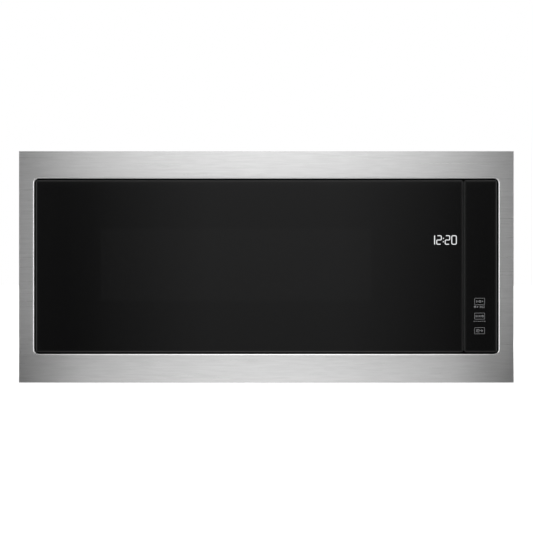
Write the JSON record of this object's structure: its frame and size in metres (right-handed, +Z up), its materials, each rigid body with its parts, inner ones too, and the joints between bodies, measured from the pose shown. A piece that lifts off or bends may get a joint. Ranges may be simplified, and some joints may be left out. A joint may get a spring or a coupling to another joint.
{
  "type": "built-in microwave oven",
  "caption": "Built-in microwave oven with a steel trim frame, side-hinged black glass door, glass turntable on a roller ring, and a component bay with fan and magnetron.",
  "frame": {"origin": "middle of the cabinet opening's lower front edge, on the shelf that the support rails stand on", "axes": "+X to the right of someone facing the door, -Y out of the cabinet towards that person, +Z up"},
  "size_m": [0.759, 0.51, 0.355],
  "materials": {
    "brushed_trim": "fine horizontal brushing",
    "zinc_sheet": "zinc coated sheet, dull",
    "bright_steel": "plain bright steel",
    "dark_steel": "varnished laminations",
    "black_enamel": "satin black enamel",
    "grey_enamel": "smooth grey enamel",
    "black_glass": "gloss, printed black behind",
    "smoked_glass": "gloss, smoked",
    "tray_glass": "clear pressed glass",
    "lamp_glass": "clear bulb",
    "black_plastic": "fine moulded grain",
    "pale_nylon": "plain moulded nylon",
    "black_rubber": "matt",
    "circuit_board": "green solder mask",
    "mica_sheet": "pressed mica flakes",
    "plain_aluminium": "drawn aluminium",
    "copper_wire": "varnished copper wire"
  },
  "bodies": {
    "chassis": {"trim_frame": "brushed_trim", "trim_bracket_left": "zinc_sheet", "trim_bracket_right": "zinc_sheet", "case_screws": "bright_steel", "support_rail_left": "zinc_sheet", "support_rail_right": "zinc_sheet", "toe_strip": "zinc_sheet", "front_plate": "black_enamel", "cavity_shell": "grey_enamel", "base_plate": "zinc_sheet", "outer_case": "zinc_sheet", "rear_panel": "zinc_sheet", "cord_bushing": "black_rubber", "hinge_leaf_upper": "bright_steel", "hinge_leaf_lower": "bright_steel", "hinge_screws": "bright_steel", "strip_glass": "black_glass", "strip_housing": "black_plastic", "touch_board": "circuit_board", "latch_board": "pale_nylon", "interlock_switches": "black_plastic", "release_solenoid": "dark_steel", "waveguide": "zinc_sheet", "waveguide_cover": "mica_sheet", "magnetron_yoke": "zinc_sheet", "magnetron_tube": "plain_aluminium", "transformer_core": "dark_steel", "transformer_windings": "copper_wire", "capacitor": "plain_aluminium", "capacitor_clamp": "zinc_sheet", "diode": "black_plastic", "control_board": "circuit_board", "noise_filter_board": "circuit_board", "fan_shroud": "black_plastic", "fan_motor": "dark_steel", "air_duct": "black_plastic", "cavity_lamp": "lamp_glass", "lamp_housing": "zinc_sheet", "thermal_cutouts": "black_plastic", "turntable_motor": "zinc_sheet"},
    "door": {"door_glass": "black_glass", "door_frame": "black_plastic", "door_screen": "black_enamel", "choke_cover": "black_plastic", "inner_pane": "smoked_glass", "display_module": "black_plastic", "hinge_pin_upper": "bright_steel", "hinge_pin_lower": "bright_steel", "latch_spring": "bright_steel"},
    "door_latch": {"latch_hooks": "pale_nylon"},
    "release_arm": {"release_lever": "pale_nylon"},
    "solenoid_core": {"solenoid_plunger": "bright_steel"},
    "turntable": {"glass_tray": "tray_glass", "drive_coupler": "pale_nylon"},
    "roller_carrier": {"roller_ring": "pale_nylon"},
    "roller_one": {"roller_a": "pale_nylon"},
    "roller_two": {"roller_b": "pale_nylon"},
    "roller_three": {"roller_c": "pale_nylon"},
    "cooling_fan": {"fan_impeller": "pale_nylon"}
  },
  "joints": [
    {"name": "door_swing", "type": "hinge", "parent": "chassis", "child": "door", "pos_m": [-0.3372, -0.022, 0.1625], "axis": [0, 0, -1], "range_deg": [0, 110]},
    {"name": "latch_drop", "type": "slide", "parent": "door", "child": "door_latch", "axis": [0, 0, -1], "range_m": [0, 0.004], "stiffness_N_per_m": 150, "springref_m": 0.008, "deforming": ["latch_spring"]},
    {"name": "release_lever_tilt", "type": "hinge", "parent": "chassis", "child": "release_arm", "pos_m": [0.291, 0.032, 0.0802], "axis": [1, 0, 0], "range_deg": [0, 12.2]},
    {"name": "solenoid_stroke", "type": "slide", "parent": "chassis", "child": "solenoid_core", "axis": [0, 0, 1], "range_m": [0, 0.0039]},
    {"name": "turntable_spin", "type": "hinge", "parent": "chassis", "child": "turntable", "pos_m": [-0.0466, 0.1762, 0.0936], "axis": [0, 0, 1], "continuous": true},
    {"name": "ring_spin", "type": "hinge", "parent": "chassis", "child": "roller_carrier", "pos_m": [-0.0466, 0.1762, 0.0863], "axis": [0, 0, 1], "continuous": true},
    {"name": "roller_a_spin", "type": "hinge", "parent": "roller_carrier", "child": "roller_one", "pos_m": [0.0534, 0.1762, 0.0863], "axis": [1, 0, 0], "continuous": true},
    {"name": "roller_b_spin", "type": "hinge", "parent": "roller_carrier", "child": "roller_two", "pos_m": [-0.0966, 0.2628, 0.0863], "axis": [-0.5, 0.866, 0], "continuous": true},
    {"name": "roller_c_spin", "type": "hinge", "parent": "roller_carrier", "child": "roller_three", "pos_m": [-0.0966, 0.0896, 0.0863], "axis": [-0.5, -0.866, 0], "continuous": true},
    {"name": "fan_spin", "type": "hinge", "parent": "chassis", "child": "cooling_fan", "pos_m": [0.2864, 0.4142, 0.19], "axis": [0, 1, 0], "continuous": true}
  ],
  "couplings": [
    {"joint": "release_lever_tilt", "follows": "latch_drop", "rad_per_m": 52.5},
    {"joint": "solenoid_stroke", "follows": "latch_drop", "ratio": 0.95},
    {"joint": "ring_spin", "follows": "turntable_spin", "ratio": 0.5},
    {"joint": "roller_a_spin", "follows": "turntable_spin", "ratio": -7.1429},
    {"joint": "roller_b_spin", "follows": "turntable_spin", "ratio": -7.1429},
    {"joint": "roller_c_spin", "follows": "turntable_spin", "ratio": -7.1429}
  ]
}
